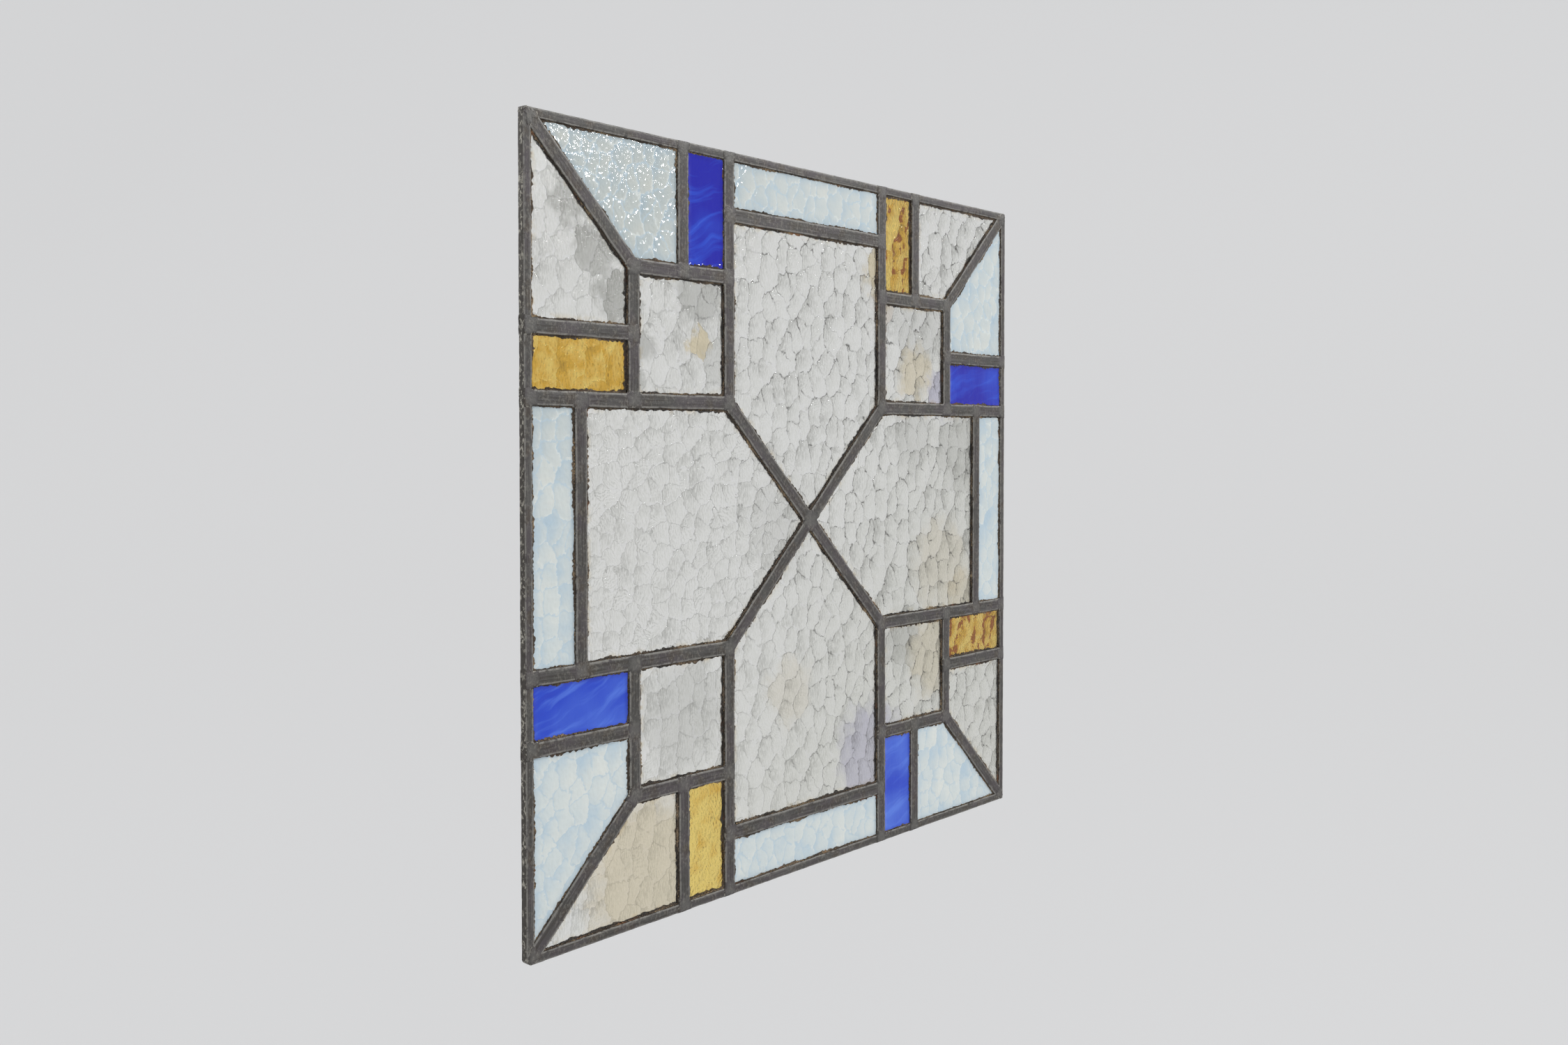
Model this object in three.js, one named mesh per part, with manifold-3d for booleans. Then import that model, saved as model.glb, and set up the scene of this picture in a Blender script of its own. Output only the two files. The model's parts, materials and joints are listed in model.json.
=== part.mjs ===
// A square leaded window panel: panes of clear, opal, blue and amber glass, held in lead cames.
// It is set out flat, as on a glazier's bench, with the front up, and the whole is then stood on edge.
import * as THREE from "three";
import { mergeVertices } from "three/addons/utils/BufferGeometryUtils.js";
import Module from "manifold-3d";

// Driving dimensions, in millimetres.
const SIDE = 500; // height and width over the border came
const GRID = 42; // setting-out lines lie at multiples of this, in from every edge
const GAP = 0.3; // room left between neighbouring pieces
const GLASS = 3.2; // thickness of every pane
const DEPTH = 6; // thickness of the cames, front face to back face
const FLANGE = 1.1; // thickness of a came's flange
const CAME = 9; // width of an inner came's face
const HEART = 1.6; // web between an inner came's flanges
const BORDER = 6; // width of the border came's face
const WEB = 1.3; // web of the border came, along the panel's outer edge
const ARRIS = 0.7; // radius that rounds a came's edges
const LAP = 0.05; // how far the arms of one soldered fork run into each other

// Distances of the setting-out lines from the panel's centre.
const EDGE = SIDE / 2;
const STRIP_LINE = EDGE - GRID;
const SQUARE_LINE = EDGE - 2 * GRID;
const BAR_LINE = EDGE - 3 * GRID;
const CROSS_LINE = EDGE - 4 * GRID;
const BORDER_LINE = EDGE - BORDER;

const wasm = await Module();
wasm.setup();

const glass = (color, opacity) =>
  new THREE.MeshStandardMaterial({ color, opacity, transparent: true, roughness: 0.1, metalness: 0 });

const MATERIALS = {
  lead: new THREE.MeshStandardMaterial({ color: 0x5a5450, roughness: 0.55, metalness: 0.6 }),
  clear_glass: glass(0xd9dbd8, 0.35),
  opal_glass: glass(0xcbd8de, 0.85),
  blue_glass: glass(0x2436b8, 0.9),
  amber_glass: glass(0xc8963a, 0.6),
};

const point = (x, y) => new THREE.Vector2(x, y);

// ---- closed meshes in and out of manifold-3d ----

function toSolid(geometry) {
  geometry.deleteAttribute("normal");
  geometry.deleteAttribute("uv");
  const merged = mergeVertices(geometry);
  return new wasm.Manifold(
    new wasm.Mesh({
      numProp: 3,
      vertProperties: merged.attributes.position.array,
      triVerts: new Uint32Array(merged.index.array),
    }),
  );
}

function toGeometry(solid) {
  const mesh = solid.getMesh();
  const shared = new THREE.BufferGeometry();
  shared.setAttribute("position", new THREE.BufferAttribute(mesh.vertProperties, mesh.numProp));
  shared.setIndex(new THREE.BufferAttribute(mesh.triVerts, 1));
  const faceted = shared.toNonIndexed();
  faceted.computeVertexNormals();
  return faceted;
}

// ---- came sections: x runs across the face, y through the thickness ----

// The front flange's edge at `reach`, from the channel round to the face.
function lip(reach) {
  const face = DEPTH / 2;
  const turned = ARRIS * (1 - Math.SQRT1_2);
  return [
    point(reach, face - FLANGE),
    point(reach, face - ARRIS),
    point(reach - turned, face - turned),
    point(reach - ARRIS, face),
  ];
}

const toBack = (points) => points.map((p) => point(p.x, -p.y)).reverse();
const toLeft = (points) => points.map((p) => point(-p.x, p.y)).reverse();

// Both sides of a channel that opens to the right, from the back flange to the front one.
function channel(reach, floor) {
  const inside = DEPTH / 2 - FLANGE;
  return [...toBack(lip(reach)), point(floor, -inside), point(floor, inside), ...lip(reach)];
}

function innerSection() {
  const right = channel(CAME / 2, HEART / 2);
  return new THREE.Shape([...right, ...toLeft(right)]);
}

function borderSection() {
  const outerEdge = lip(0).slice(1).map((p) => point(-p.x, p.y)).reverse();
  return new THREE.Shape([...channel(BORDER, WEB), ...outerEdge, ...toBack(outerEdge)]);
}

const INNER = innerSection();
const OUTER = borderSection();

// ---- cames ----

// A cut takes away all that lies beyond the line through `at`, on the side that `away` points to.
const cut = (at, away) => ({ at, away });

// Lets a came that leaves a joint along `own` meet its neighbour, which leaves it along `other`.
function mitre(joint, own, other, room = GAP / 2) {
  const away = other.clone().normalize().sub(own.clone().normalize()).normalize();
  return cut(joint.clone().addScaledVector(away, -room), away);
}

// Ends a came that runs along `away` against the side of one whose centre line holds `at`.
const butt = (at, away) => cut(at.clone().addScaledVector(away, -CAME / 2 - GAP), away);

function trim(solid, { at, away }) {
  const reach = 2 * SIDE;
  const block = new THREE.BoxGeometry(reach, reach, 2 * DEPTH);
  block.translate(reach / 2, 0, 0);
  block.rotateZ(away.angle());
  block.translate(at.x, at.y, 0);
  return solid.subtract(toSolid(block));
}

// A came from one point to another, run on past both and then trimmed by its cuts.
function came(from, to, cuts, section = INNER) {
  const along = to.clone().sub(from).normalize();
  const start = from.clone().addScaledVector(along, -CAME);
  const depth = from.distanceTo(to) + 2 * CAME;
  const geometry = new THREE.ExtrudeGeometry(section, { depth, bevelEnabled: false });
  const across = new THREE.Vector3(-along.y, along.x, 0);
  const forward = new THREE.Vector3(along.x, along.y, 0);
  const through = forward.clone().cross(across);
  const placed = new THREE.Matrix4().makeBasis(across, through, forward);
  geometry.applyMatrix4(placed.setPosition(start.x, start.y, 0));
  return cuts.reduce(trim, toSolid(geometry));
}

// ---- panes ----

const onBorder = (a, b) => ["x", "y"].some((k) => a[k] === b[k] && Math.abs(a[k]) === EDGE);

// The pane that fills an outline of setting-out lines, cut back to clear the webs around it.
function pane(outline) {
  const corners = THREE.ShapeUtils.area(outline) < 0 ? outline.toReversed() : outline;
  const sides = corners.map((from, i) => {
    const to = corners[(i + 1) % corners.length];
    const along = to.clone().sub(from).normalize();
    const room = GAP + (onBorder(from, to) ? WEB : HEART / 2);
    return { along, from: from.clone().addScaledVector(point(-along.y, along.x), room) };
  });
  const cutBack = sides.map((side, i) => {
    const last = sides.at(i - 1);
    const step = side.from.clone().sub(last.from).cross(side.along) / last.along.cross(side.along);
    return last.from.clone().addScaledVector(last.along, step);
  });
  const plate = new THREE.ExtrudeGeometry(new THREE.Shape(cutBack), { depth: GLASS, bevelEnabled: false });
  return plate.translate(0, 0, -GLASS / 2);
}

// ---- the panel ----

const bench = new THREE.Group();

function add(name, geometry, slot) {
  const mesh = new THREE.Mesh(geometry, MATERIALS[slot]);
  mesh.name = name;
  bench.add(mesh);
}

const addLead = (name, solid) => add(name, toGeometry(solid), "lead");
const addPane = (name, outline, slot) => add(name, pane(outline), slot);

// One quarter of the pattern, `name` to the side that `x` and `y`, each 1 or -1, point to.
function corner(name, x, y) {
  const fork = point(x * SQUARE_LINE, y * SQUARE_LINE);
  const node = point(x * CROSS_LINE, y * CROSS_LINE);
  const outward = point(x, y);
  const pinwheel = x * y < 0;

  // What lies along the top or bottom border, and its twin along the left or right one.
  const flat = (a, b) => point(a * x, b * y);
  const side = (a, b) => point(b * x, a * y);
  const twins = [
    ["flat", flat, side, pinwheel],
    ["side", side, flat, !pinwheel],
  ];

  const forkArms = [
    came(fork, flat(EDGE, EDGE), [
      cut(flat(0, BORDER_LINE - GAP), flat(0, 1)),
      cut(side(0, BORDER_LINE - GAP), side(0, 1)),
      mitre(fork, outward, flat(0, -1), -LAP),
      mitre(fork, outward, side(0, -1), -LAP),
    ]),
  ];
  for (const [which, at, across, cool] of twins) {
    const out = at(0, 1);
    const level = across(0, -1);
    forkArms.push(
      came(fork, at(CROSS_LINE, SQUARE_LINE), [
        mitre(fork, level, outward, -LAP),
        mitre(fork, level, at(0, -1), -LAP),
        butt(at(CROSS_LINE, SQUARE_LINE), level),
      ]),
    );
    addLead(
      `${name}_bar_came_${which}`,
      came(at(BAR_LINE, SQUARE_LINE), at(BAR_LINE, EDGE), [
        butt(at(BAR_LINE, SQUARE_LINE), at(0, -1)),
        cut(at(0, BORDER_LINE - GAP), out),
      ]),
    );
    addLead(
      `${name}_cross_came_${which}`,
      came(node, at(CROSS_LINE, EDGE), [
        mitre(node, out, across(0, 1)),
        mitre(node, out, point(-x, -y)),
        cut(at(0, BORDER_LINE - GAP), out),
      ]),
    );
    const trapezoid = [at(EDGE, EDGE), at(BAR_LINE, EDGE), at(BAR_LINE, SQUARE_LINE), fork];
    addPane(`${name}_trapezoid_${which}`, trapezoid, cool ? "opal_glass" : "clear_glass");
    const bar = [
      at(BAR_LINE, EDGE),
      at(CROSS_LINE, EDGE),
      at(CROSS_LINE, SQUARE_LINE),
      at(BAR_LINE, SQUARE_LINE),
    ];
    addPane(`${name}_bar_${which}`, bar, cool ? "blue_glass" : "amber_glass");
  }
  addLead(`${name}_fork_came`, forkArms.reduce((all, arm) => all.add(arm)));
  const square = [fork, flat(CROSS_LINE, SQUARE_LINE), node, flat(SQUARE_LINE, CROSS_LINE)];
  addPane(`${name}_square`, square, "clear_glass");
}

// What lies between two corners, on the side of the panel that `outward` points to.
function middle(name, outward) {
  const along = point(-outward.y, outward.x);
  const at = (a, b) => point(0, 0).addScaledVector(along, a).addScaledVector(outward, b);
  const back = along.clone().negate();
  const inward = outward.clone().negate();

  // The inside of the panel is on the left of `along`, which is where the border's channel opens.
  const border = [
    mitre(at(-EDGE, EDGE), along, inward),
    mitre(at(EDGE, EDGE), back, inward),
  ];
  addLead(`${name}_border_came`, came(at(-EDGE, EDGE), at(EDGE, EDGE), border, OUTER));
  addLead(
    `${name}_strip_came`,
    came(at(-CROSS_LINE, STRIP_LINE), at(CROSS_LINE, STRIP_LINE), [
      butt(at(CROSS_LINE, STRIP_LINE), along),
      butt(at(-CROSS_LINE, STRIP_LINE), back),
    ]),
  );
  const strip = [
    at(CROSS_LINE, EDGE),
    at(-CROSS_LINE, EDGE),
    at(-CROSS_LINE, STRIP_LINE),
    at(CROSS_LINE, STRIP_LINE),
  ];
  addPane(`${name}_strip`, strip, "opal_glass");
  const pentagon = [
    at(CROSS_LINE, STRIP_LINE),
    at(-CROSS_LINE, STRIP_LINE),
    at(-CROSS_LINE, CROSS_LINE),
    point(0, 0),
    at(CROSS_LINE, CROSS_LINE),
  ];
  addPane(`${name}_pentagon`, pentagon, "clear_glass");
}

// The two diagonals that cross in the middle: one runs through, and the other butts on it.
function saltire() {
  const node = (x, y) => point(x * CROSS_LINE, y * CROSS_LINE);
  const meet = (x, y) => [
    mitre(node(x, y), point(-x, -y), point(x, 0)),
    mitre(node(x, y), point(-x, -y), point(0, y)),
  ];
  addLead("rising_diagonal_came", came(node(-1, -1), node(1, 1), [...meet(-1, -1), ...meet(1, 1)]));
  for (const [name, x] of [["upper", -1], ["lower", 1]]) {
    const inward = point(x, -x).multiplyScalar(-Math.SQRT1_2);
    const half = came(node(x, -x), point(0, 0), [...meet(x, -x), butt(point(0, 0), inward)]);
    addLead(`falling_diagonal_came_${name}`, half);
  }
}

for (const [vertical, y] of [["top", 1], ["bottom", -1]])
  for (const [sideways, x] of [["left", -1], ["right", 1]]) corner(`${vertical}_${sideways}`, x, y);

middle("top", point(0, 1));
middle("bottom", point(0, -1));
middle("left", point(-1, 0));
middle("right", point(1, 0));
saltire();

// Stood up: the front faces -Y, and the middle of the bottom edge is the origin.
bench.rotation.x = Math.PI / 2;
bench.position.z = EDGE;
const panel = new THREE.Group();
panel.add(bench);

export default panel;
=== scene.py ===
"""A square leaded glass panel: hammered panes in lead cames, with soldered joints and old cement.

Each piece is set out flat, as on a glazier's bench: x to the right, y up the panel and z towards
its front, in metres from the panel's centre. `lay` then stands the finished piece up in the frame.
"""

import json
import math

import bmesh
import bpy
import numpy as np
from mathutils import Matrix, Vector, geometry, noise


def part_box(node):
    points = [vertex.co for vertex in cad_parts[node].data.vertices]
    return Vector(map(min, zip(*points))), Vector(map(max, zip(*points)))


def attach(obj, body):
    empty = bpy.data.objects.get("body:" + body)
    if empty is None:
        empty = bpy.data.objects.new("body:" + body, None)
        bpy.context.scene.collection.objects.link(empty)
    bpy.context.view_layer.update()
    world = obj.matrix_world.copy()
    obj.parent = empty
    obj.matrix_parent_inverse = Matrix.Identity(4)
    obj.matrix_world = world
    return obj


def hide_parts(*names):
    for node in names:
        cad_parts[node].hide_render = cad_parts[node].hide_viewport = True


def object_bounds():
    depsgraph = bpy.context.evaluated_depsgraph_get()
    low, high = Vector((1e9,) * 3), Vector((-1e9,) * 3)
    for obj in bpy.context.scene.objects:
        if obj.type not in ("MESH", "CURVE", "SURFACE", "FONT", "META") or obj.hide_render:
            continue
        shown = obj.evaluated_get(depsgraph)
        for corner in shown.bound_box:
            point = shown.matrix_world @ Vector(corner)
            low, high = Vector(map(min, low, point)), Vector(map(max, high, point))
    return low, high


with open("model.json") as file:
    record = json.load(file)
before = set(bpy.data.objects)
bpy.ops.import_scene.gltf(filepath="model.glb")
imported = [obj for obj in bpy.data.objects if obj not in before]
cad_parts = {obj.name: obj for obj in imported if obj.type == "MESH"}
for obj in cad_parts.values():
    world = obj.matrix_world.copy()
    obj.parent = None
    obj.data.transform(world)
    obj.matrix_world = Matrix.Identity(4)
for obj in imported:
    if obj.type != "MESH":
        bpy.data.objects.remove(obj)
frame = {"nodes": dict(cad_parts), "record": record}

bl_info = {
    "name": "Leaded Glass Panel",
    "version": (1, 0, 0),
    "blender": (4, 5, 0),
    "location": "3D View > Sidebar > Leaded Glass",
    "description": "Makes a stained glass panel's cames, solder, cement and panes",
    "category": "Add Mesh",
}

MM = 0.001
SIGN = {"top": 1, "bottom": -1, "left": -1, "right": 1}
CORNERS = (("top", "left"), ("top", "right"), ("bottom", "left"), ("bottom", "right"))

# ---- sizes taken from the frame ----

LOW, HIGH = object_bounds()
CENTRE = (LOW + HIGH) / 2
EDGE = (HIGH.x - LOW.x) / 2
HALF_DEPTH = (HIGH.y - LOW.y) / 2


def line_of(node, axis):
    """Distance from the panel's centre to the middle of a level or upright came."""
    low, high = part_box(node)
    return abs((low[axis] + high[axis]) / 2 - CENTRE[axis])


def width_of(node, axis):
    """A node's size along one axis."""
    low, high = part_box(node)
    return high[axis] - low[axis]


STRIP_LINE = line_of("top_strip_came", 2)
BAR_LINE = line_of("top_right_bar_came_flat", 0)
CROSS_LINE = line_of("top_right_cross_came_flat", 0)
SQUARE_LINE = 2 * BAR_LINE - CROSS_LINE
CAME = width_of("top_right_bar_came_flat", 0)
BORDER = width_of("top_border_came", 2)
BORDER_LINE = EDGE - BORDER / 2
INSET = CROSS_LINE - (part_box("top_pentagon")[1].x - CENTRE.x)
HALF_GLASS = width_of("top_pentagon", 1) / 2
STAND = Matrix.Translation(CENTRE) @ Matrix.Rotation(math.pi / 2, 4, "X")

# ---- what is worn and stained, where light and shade are painted, and how the panel is lit ----

# Radius that each outer corner is worn to, by its signs in x and y.
WORN_CORNERS = {(-1, -1): 4.2 * MM, (-1, 1): 1.6 * MM, (1, 1): 1.6 * MM, (1, -1): 0.9 * MM}

# Stains in the clear glass, with painted light and shade among them: x and y in millimetres from the panel's
# centre, radius, tint and strength. The grey patches are painted shade and the tan spot in the top left
# square is painted amber light; the others are stains.
STAINS_AND_PAINTED_LIGHT = (
    (-110.0, 120.5, 13.0, "tan", 1.0),
    (124.5, 111.6, 26.0, "tan", 0.8),
    (160.0, 97.0, 24.0, "violet", 0.9),
    (128.0, 150.0, 40.0, "grey", 0.35),
    (82.0, 184.0, 24.0, "tan", 1.0),
    (84.0, 160.0, 16.0, "brown", 0.55),
    (186.0, 52.0, 40.0, "grey", 0.45),
    (120.0, 60.0, 30.0, "grey", 0.35),
    (-158.0, -214.0, 60.0, "tan", 0.85),
    (70.0, -178.0, 46.0, "violet", 0.85),
    (150.0, -112.0, 40.0, "tan", 0.65),
    (108.0, -96.0, 28.0, "grey", 0.6),
    (160.0, -40.0, 44.0, "tan", 0.45),
    (190.0, -70.0, 26.0, "tan", 0.6),
    (-30.0, 0.0, 40.0, "grey", 0.3),
    (-20.0, -120.0, 30.0, "tan", 0.35),
    (-166.0, 118.0, 20.0, "grey", 0.75),
    (-178.0, 146.0, 21.0, "grey", 0.9),
    (-196.0, 174.0, 20.0, "grey", 0.8),
    (-214.0, 200.0, 18.0, "grey", 0.8),
    (-174.0, 90.0, 16.0, "grey", 0.8),
    (-110.0, 156.0, 30.0, "grey", 0.7),
    (-90.0, 110.0, 24.0, "grey", 0.4),
    (-124.0, -120.0, 44.0, "grey", 0.4),
)

# Each lamp's place, width and power.
LAMPS = {
    "key": ((2.0, -1.5, 2.3), 1.2, 55.0),
    "fill": ((-1.9, -1.6, 1.1), 1.8, 12.0),
    "glint": ((1.42, -1.97, 1.22), 0.14, 6.0),
    "rear": ((-0.8, 2.2, 1.8), 1.4, 20.0),
}
CAMERA_PLACE = (-0.7137, -0.6317, 0.3066)
CAMERA_TILT, CAMERA_TURN = math.radians(88.6), math.radians(-47.454)
LENS, SENSOR, LENS_SHIFT = 30.52, 36.0, -0.031


# ---- node trees ----


class Wire:
    """One output of a node. The signs + - * / and abs on it add Math nodes."""

    def __init__(self, board, socket):
        self.board = board
        self.socket = socket

    def __add__(self, other):
        return self.board.maths("ADD", self, other)

    def __radd__(self, other):
        return self.board.maths("ADD", other, self)

    def __sub__(self, other):
        return self.board.maths("SUBTRACT", self, other)

    def __rsub__(self, other):
        return self.board.maths("SUBTRACT", other, self)

    def __mul__(self, other):
        return self.board.maths("MULTIPLY", self, other)

    def __rmul__(self, other):
        return self.board.maths("MULTIPLY", other, self)

    def __truediv__(self, other):
        return self.board.maths("DIVIDE", self, other)

    def __abs__(self):
        return self.board.maths("ABSOLUTE", self)


class Board:
    """A node tree, and the few ways that nodes are put into it."""

    def __init__(self, tree):
        self.tree = tree

    def node(self, kind, settings=None, sockets=None, output=0):
        """Adds a node: its settings first, then a value or a wire for each socket."""
        made = self.tree.nodes.new(kind)
        for name, value in (settings or {}).items():
            if name == "stops":
                self.set_stops(made.color_ramp, value)
            else:
                setattr(made, name, value)
        for key, value in (sockets or {}).items():
            if isinstance(value, Wire):
                self.tree.links.new(value.socket, made.inputs[key])
            else:
                made.inputs[key].default_value = value
        return Wire(self, made.outputs[output]) if made.outputs else made

    def set_stops(self, ramp, stops):
        """Gives a colour ramp its stops, as (position, colour) pairs."""
        while len(ramp.elements) < len(stops):
            ramp.elements.new(1.0)
        for element, (position, colour) in zip(ramp.elements, stops):
            element.position = position
            element.color = (*colour, 1.0)

    def maths(self, operation, *values):
        return self.node("ShaderNodeMath", {"operation": operation}, dict(enumerate(values)))

    def vector(self, operation, a, b=(0.0, 0.0, 0.0)):
        """Vector maths. To SCALE, b is a number."""
        sockets = {0: a, "Scale" if operation == "SCALE" else 1: b}
        output = "Value" if operation in ("DOT_PRODUCT", "DISTANCE") else "Vector"
        return self.node("ShaderNodeVectorMath", {"operation": operation}, sockets, output)

    def combine(self, x, y, z):
        return self.node("ShaderNodeCombineXYZ", None, {0: x, 1: y, 2: z})

    def split(self, vector):
        apart = self.node("ShaderNodeSeparateXYZ", None, {0: vector})
        return [Wire(self, s) for s in apart.socket.node.outputs]

    def step(self, value, low, high, start=0.0, end=1.0):
        """A soft step from start to end while the value goes from low to high."""
        sockets = {"Value": value, 1: low, 2: high, 3: start, 4: end}
        return self.node("ShaderNodeMapRange", {"interpolation_type": "SMOOTHSTEP"}, sockets)

    def mix(self, share, a, b, blend="MIX"):
        """Colour a, going over to colour b as the share rises."""
        a, b = (c if isinstance(c, Wire) else (*c, 1.0) for c in (a, b))
        settings = {"data_type": "RGBA", "blend_type": blend}
        return self.node("ShaderNodeMix", settings, {0: share, 6: a, 7: b}, 2)

    def ramp(self, share, *stops):
        """The colour for a share from 0 to 1, between (position, colour) stops."""
        return self.node("ShaderNodeValToRGB", {"stops": stops}, {0: share})

    def noise(self, place, pitch, detail=2.0, rough=0.5, output="Fac", flat=False):
        """Noise with features about `pitch` millimetres across, on a place in millimetres."""
        settings = {"noise_dimensions": "2D" if flat else "3D"}
        sockets = {"Vector": place, "Scale": 1.0 / pitch, "Detail": detail, "Roughness": rough}
        return self.node("ShaderNodeTexNoise", settings, sockets, output)

    def wander(self, place, pitch, detail, rough, spread, flat=False):
        """Noise as a vector that wanders round zero by up to half the spread each way."""
        found = self.noise(place, pitch, detail, rough, "Color", flat)
        return self.vector("MULTIPLY", self.vector("SUBTRACT", found, (0.5, 0.5, 0.5)), spread)

    def attribute(self, name, output="Fac"):
        """What was noted on the mesh under a name."""
        return self.node("ShaderNodeAttribute", {"attribute_name": name}, None, output)

    def shade(self, **sockets):
        """Ends a material in one Principled shader."""
        named = {name.replace("_", " "): value for name, value in sockets.items()}
        shader = self.node("ShaderNodeBsdfPrincipled", None, named)
        self.node("ShaderNodeOutputMaterial", None, {"Surface": shader})

    def bump(self, height, depth):
        """A surface normal from a height of 0 to 1 that stands for `depth` metres."""
        return self.node("ShaderNodeBump", None, {"Height": height, "Distance": depth, "Strength": 1.0})


def new_material(name):
    """An empty material and the board to fill."""
    material = bpy.data.materials.new(name)
    material.use_nodes = True
    material.node_tree.nodes.clear()
    return material, Board(material.node_tree)


def bench_place(board):
    """The shading point on the bench, in millimetres from the panel's centre."""
    x, y, z = board.split(board.node("ShaderNodeTexCoord", None, None, "Object"))
    return board.combine((x - CENTRE.x) / MM, (z - CENTRE.z) / MM, (y - CENTRE.y) / -MM)


def new_geometry(name, inputs):
    """A Geometry Nodes tree with named inputs, its board and a wire from each input."""
    tree = bpy.data.node_groups.new(name, "GeometryNodeTree")
    tree.interface.new_socket("Geometry", in_out="OUTPUT", socket_type="NodeSocketGeometry")
    tree.interface.new_socket("Geometry", in_out="INPUT", socket_type="NodeSocketGeometry")
    for label, kind, default in inputs:
        socket = tree.interface.new_socket(label, in_out="INPUT", socket_type=kind)
        if default is not None:
            socket.default_value = default
    board = Board(tree)
    source = tree.nodes.new("NodeGroupInput")
    wires = {s.name: Wire(board, s) for s in source.outputs if s.name}
    return tree, board, wires


def end_geometry(board, geometry_wire, material_wire):
    """Ends a tree in plain faces that wear the material."""
    real = board.node("GeometryNodeRealizeInstances", None, {0: geometry_wire})
    dressed = board.node("GeometryNodeSetMaterial", None, {0: real, "Material": material_wire})
    board.node("NodeGroupOutput", None, {0: dressed})


def even_line(board, wires):
    """The lines that come into a tree, as curves in even steps."""
    line = board.node("GeometryNodeMeshToCurve", None, {0: wires["Geometry"]})
    sockets = {0: line, "Length": wires["Step"]}
    line = board.node("GeometryNodeResampleCurve", {"mode": "LENGTH"}, sockets)
    return board.node("GeometryNodeSetCurveNormal", {"mode": "Z_UP"}, {0: line})


def section_loop(board, wires):
    """The outline that a tree sweeps, as a closed curve."""
    loop = board.node("GeometryNodeObjectInfo", None, {0: wires["Section"]}, "Geometry")
    return board.node("GeometryNodeMeshToCurve", None, {0: loop})


def shifted_place(board, wires, x, y):
    """Each point's place in millimetres, moved along so that no two pieces are worked alike."""
    place = board.vector("SCALE", board.node("GeometryNodeInputPosition"), 1 / MM)
    shift = wires["Shift"]
    return board.vector("ADD", place, board.combine(shift * x, shift * y, shift))


def run_tree(source, tree, values):
    """Puts a mesh through a tree and returns the plain mesh that it makes."""
    holder = bpy.data.objects.new("on_the_bench", source)
    bpy.context.scene.collection.objects.link(holder)
    modifier = holder.modifiers.new("tree", "NODES")
    modifier.node_group = tree
    for item in tree.interface.items_tree:
        if item.in_out == "INPUT" and item.name in values:
            modifier[item.identifier] = values[item.name]
    bpy.context.view_layer.update()
    depsgraph = bpy.context.evaluated_depsgraph_get()
    made = bpy.data.meshes.new_from_object(
        holder.evaluated_get(depsgraph), preserve_all_data_layers=True, depsgraph=depsgraph
    )
    holder.modifiers.remove(modifier)
    bpy.data.objects.remove(holder)
    return made


# ---- meshes on the bench ----


def points_of(mesh):
    """A mesh's vertices as rows of x, y, z."""
    co = np.empty(len(mesh.vertices) * 3, np.float32)
    mesh.vertices.foreach_get("co", co)
    return co.reshape(-1, 3).astype(float)


def set_points(mesh, points):
    """Moves a mesh's vertices to these rows of x, y, z."""
    mesh.vertices.foreach_set("co", np.asarray(points, np.float32).ravel())
    mesh.update()


def face_outwards(mesh):
    """Closes up doubled points and turns every face of a closed mesh outwards."""
    work = bmesh.new()
    work.from_mesh(mesh)
    bmesh.ops.remove_doubles(work, verts=work.verts, dist=2e-6)
    bmesh.ops.dissolve_degenerate(work, edges=work.edges, dist=1e-6)
    bmesh.ops.recalc_face_normals(work, faces=work.faces)
    work.to_mesh(mesh)
    work.free()


def lay(name, mesh, material, nodes=(), crease=40.0):
    """Stands a mesh up in the frame and makes it a finished piece of the panel."""
    mesh.transform(STAND)
    mesh.materials.clear()
    mesh.materials.append(material)
    mesh.polygons.foreach_set("use_smooth", [True] * len(mesh.polygons))
    mesh.set_sharp_from_angle(angle=math.radians(crease))
    mesh.name = name
    piece = bpy.data.objects.new(name, mesh)
    bpy.context.scene.collection.objects.link(piece)
    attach(piece, "root")
    if nodes:
        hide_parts(*nodes)


def polylines(lines, closed=False):
    """A mesh of edges along lists of points on the bench."""
    points, edges = [], []
    for line in lines:
        first = len(points)
        points += [(*p, 0.0) if len(p) == 2 else p for p in line]
        edges += [(first + i, first + i + 1) for i in range(len(line) - 1)]
        if closed:
            edges.append((first + len(line) - 1, first))
    mesh = bpy.data.meshes.new("lines")
    mesh.from_pydata(points, edges, [])
    return mesh


def ring_faces(a, b, count):
    """Four-sided faces between two rings of points that start at a and b."""
    return [(a + i, b + i, b + (i + 1) % count, a + (i + 1) % count) for i in range(count)]


# ---- cames ----


def arris(across, depth, radius):
    """The rounded edge of a face, from the face round to the side."""
    turns = [math.radians(a) for a in (90, 55, 20, 0)]
    x, z = across - radius, depth - radius
    return [(x + radius * math.cos(a), z + radius * math.sin(a)) for a in turns]


def inner_section(sizes):
    """Outline of an inner came: two flanges joined by a heart."""
    half, depth, flange, heart = CAME / 2, sizes.face_depth, sizes.flange, sizes.heart / 2
    quarter = [(half * 0.45, depth + 0.03 * MM)]
    quarter += arris(half, depth, sizes.arris)
    quarter += [(half, depth - flange), (heart, depth - flange)]
    lower = [(x, -z) for x, z in reversed(quarter)]
    left = [(-x, z) for x, z in reversed(quarter + lower)]
    return quarter + lower + left


def border_section(sizes):
    """Outline of the border came: a channel that opens to the left."""
    half, depth, flange = BORDER / 2 - 0.2 * MM, sizes.face_depth - 0.12 * MM, sizes.flange
    outer = arris(half, depth, sizes.arris * 1.5)
    inner = [(-x, z) for x, z in reversed(arris(half, depth, sizes.arris))]
    upper = [(-half, depth - flange)] + inner + outer
    lower = [(x, -z) for x, z in reversed(upper)]
    web = half - sizes.web
    return upper + lower + [(web, -depth + flange), (web, depth - flange)]


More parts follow.
